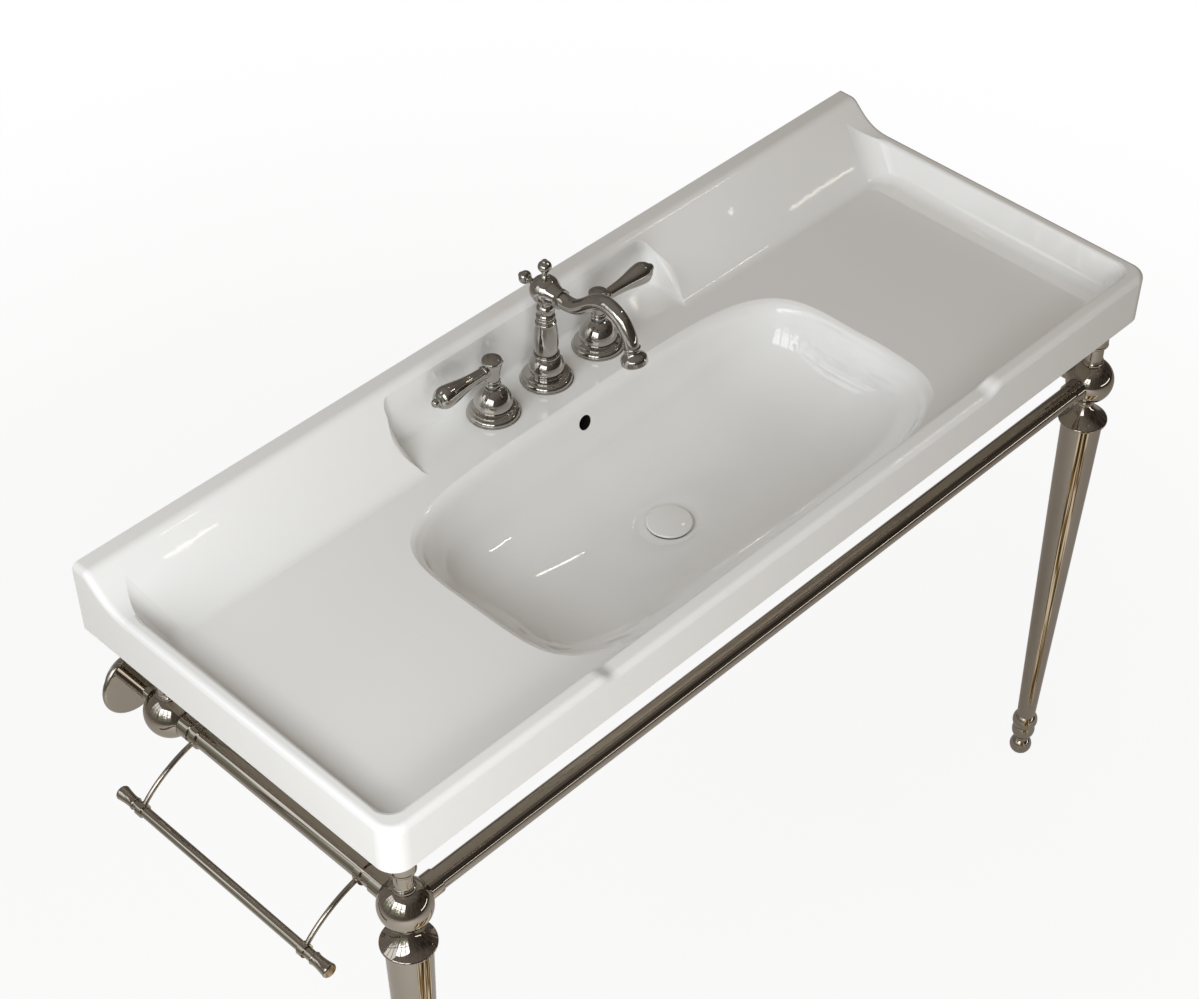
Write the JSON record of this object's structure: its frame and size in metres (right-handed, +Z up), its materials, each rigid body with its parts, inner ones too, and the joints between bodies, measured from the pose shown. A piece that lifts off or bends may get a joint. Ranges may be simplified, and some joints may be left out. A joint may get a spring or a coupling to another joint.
{
  "type": "bathroom sink",
  "caption": "Wide ceramic washbasin with a bowl between side trays, on a turned metal stand with a towel bar, a swan-neck spout, lever handles and a push drain.",
  "frame": {"origin": "middle of the basin's back face on the wall plane, at the height of the tray surface", "axes": "+X along the basin, +Y into the wall, +Z up"},
  "size_m": [1.3122, 0.496, 1.0074],
  "materials": {
    "glazed_ceramic": "white gloss glaze",
    "white_ceramic": "white gloss glaze",
    "polished_nickel": "warm polished nickel plate",
    "brass": "plain machined brass",
    "steel": "plain stainless steel",
    "black_rubber": "matt black",
    "grey_plastic": "moulded"
  },
  "bodies": {
    "sink": {"basin": "glazed_ceramic", "crossover_tubes": "brass", "drain_body": "polished_nickel", "drain_cartridge": "grey_plastic", "drain_lock_nut": "brass", "drain_tailpiece": "polished_nickel", "drain_top_gasket": "black_rubber", "drain_under_gasket": "black_rubber", "drain_washer": "steel", "faucet_gaskets": "black_rubber", "faucet_lock_nuts": "brass", "faucet_washers": "steel", "feet": "polished_nickel", "front_left_ball": "polished_nickel", "front_rail": "polished_nickel", "front_right_ball": "polished_nickel", "left_cartridge": "grey_plastic", "left_escutcheon": "polished_nickel", "left_leg": "polished_nickel", "left_rail": "polished_nickel", "left_valve_body": "brass", "leg_collars": "polished_nickel", "leg_studs": "steel", "posts": "polished_nickel", "rail_sleeves": "polished_nickel", "rear_left_ball": "polished_nickel", "rear_right_ball": "polished_nickel", "right_cartridge": "grey_plastic", "right_escutcheon": "polished_nickel", "right_leg": "polished_nickel", "right_rail": "polished_nickel", "right_valve_body": "brass", "spout_aerator": "grey_plastic", "spout_arm": "polished_nickel", "spout_base": "polished_nickel", "spout_column": "polished_nickel", "spout_finials": "polished_nickel", "spout_head": "polished_nickel", "spout_outlet": "polished_nickel", "spout_shank": "brass", "spout_tee": "brass", "towel_bar": "polished_nickel", "towel_bar_end_caps": "polished_nickel", "towel_bar_rings": "polished_nickel", "towel_rail_rings": "polished_nickel", "towel_rods": "polished_nickel", "wall_flanges": "polished_nickel", "wall_plates": "steel", "wall_tubes": "polished_nickel"},
    "left_handle": {"left_hub": "polished_nickel", "left_lever": "polished_nickel", "left_set_screw": "polished_nickel", "left_stem": "steel"},
    "right_handle": {"right_hub": "polished_nickel", "right_lever": "polished_nickel", "right_set_screw": "polished_nickel", "right_stem": "steel"},
    "drain_cover": {"drain_cover": "white_ceramic", "drain_cover_seal": "black_rubber", "drain_cover_stem": "steel"}
  },
  "joints": [
    {"name": "left_handle_turn", "type": "hinge", "parent": "sink", "child": "left_handle", "pos_m": [-0.0871, -0.0792, 0.03], "axis": [0, 0, 1], "range_deg": [0, 90]},
    {"name": "right_handle_turn", "type": "hinge", "parent": "sink", "child": "right_handle", "pos_m": [0.0871, -0.0792, 0.03], "axis": [0, 0, 1], "range_deg": [-90, 0]},
    {"name": "drain_cover_lift", "type": "slide", "parent": "sink", "child": "drain_cover", "axis": [0, 0, 1], "range_m": [0, 0.008]}
  ]
}
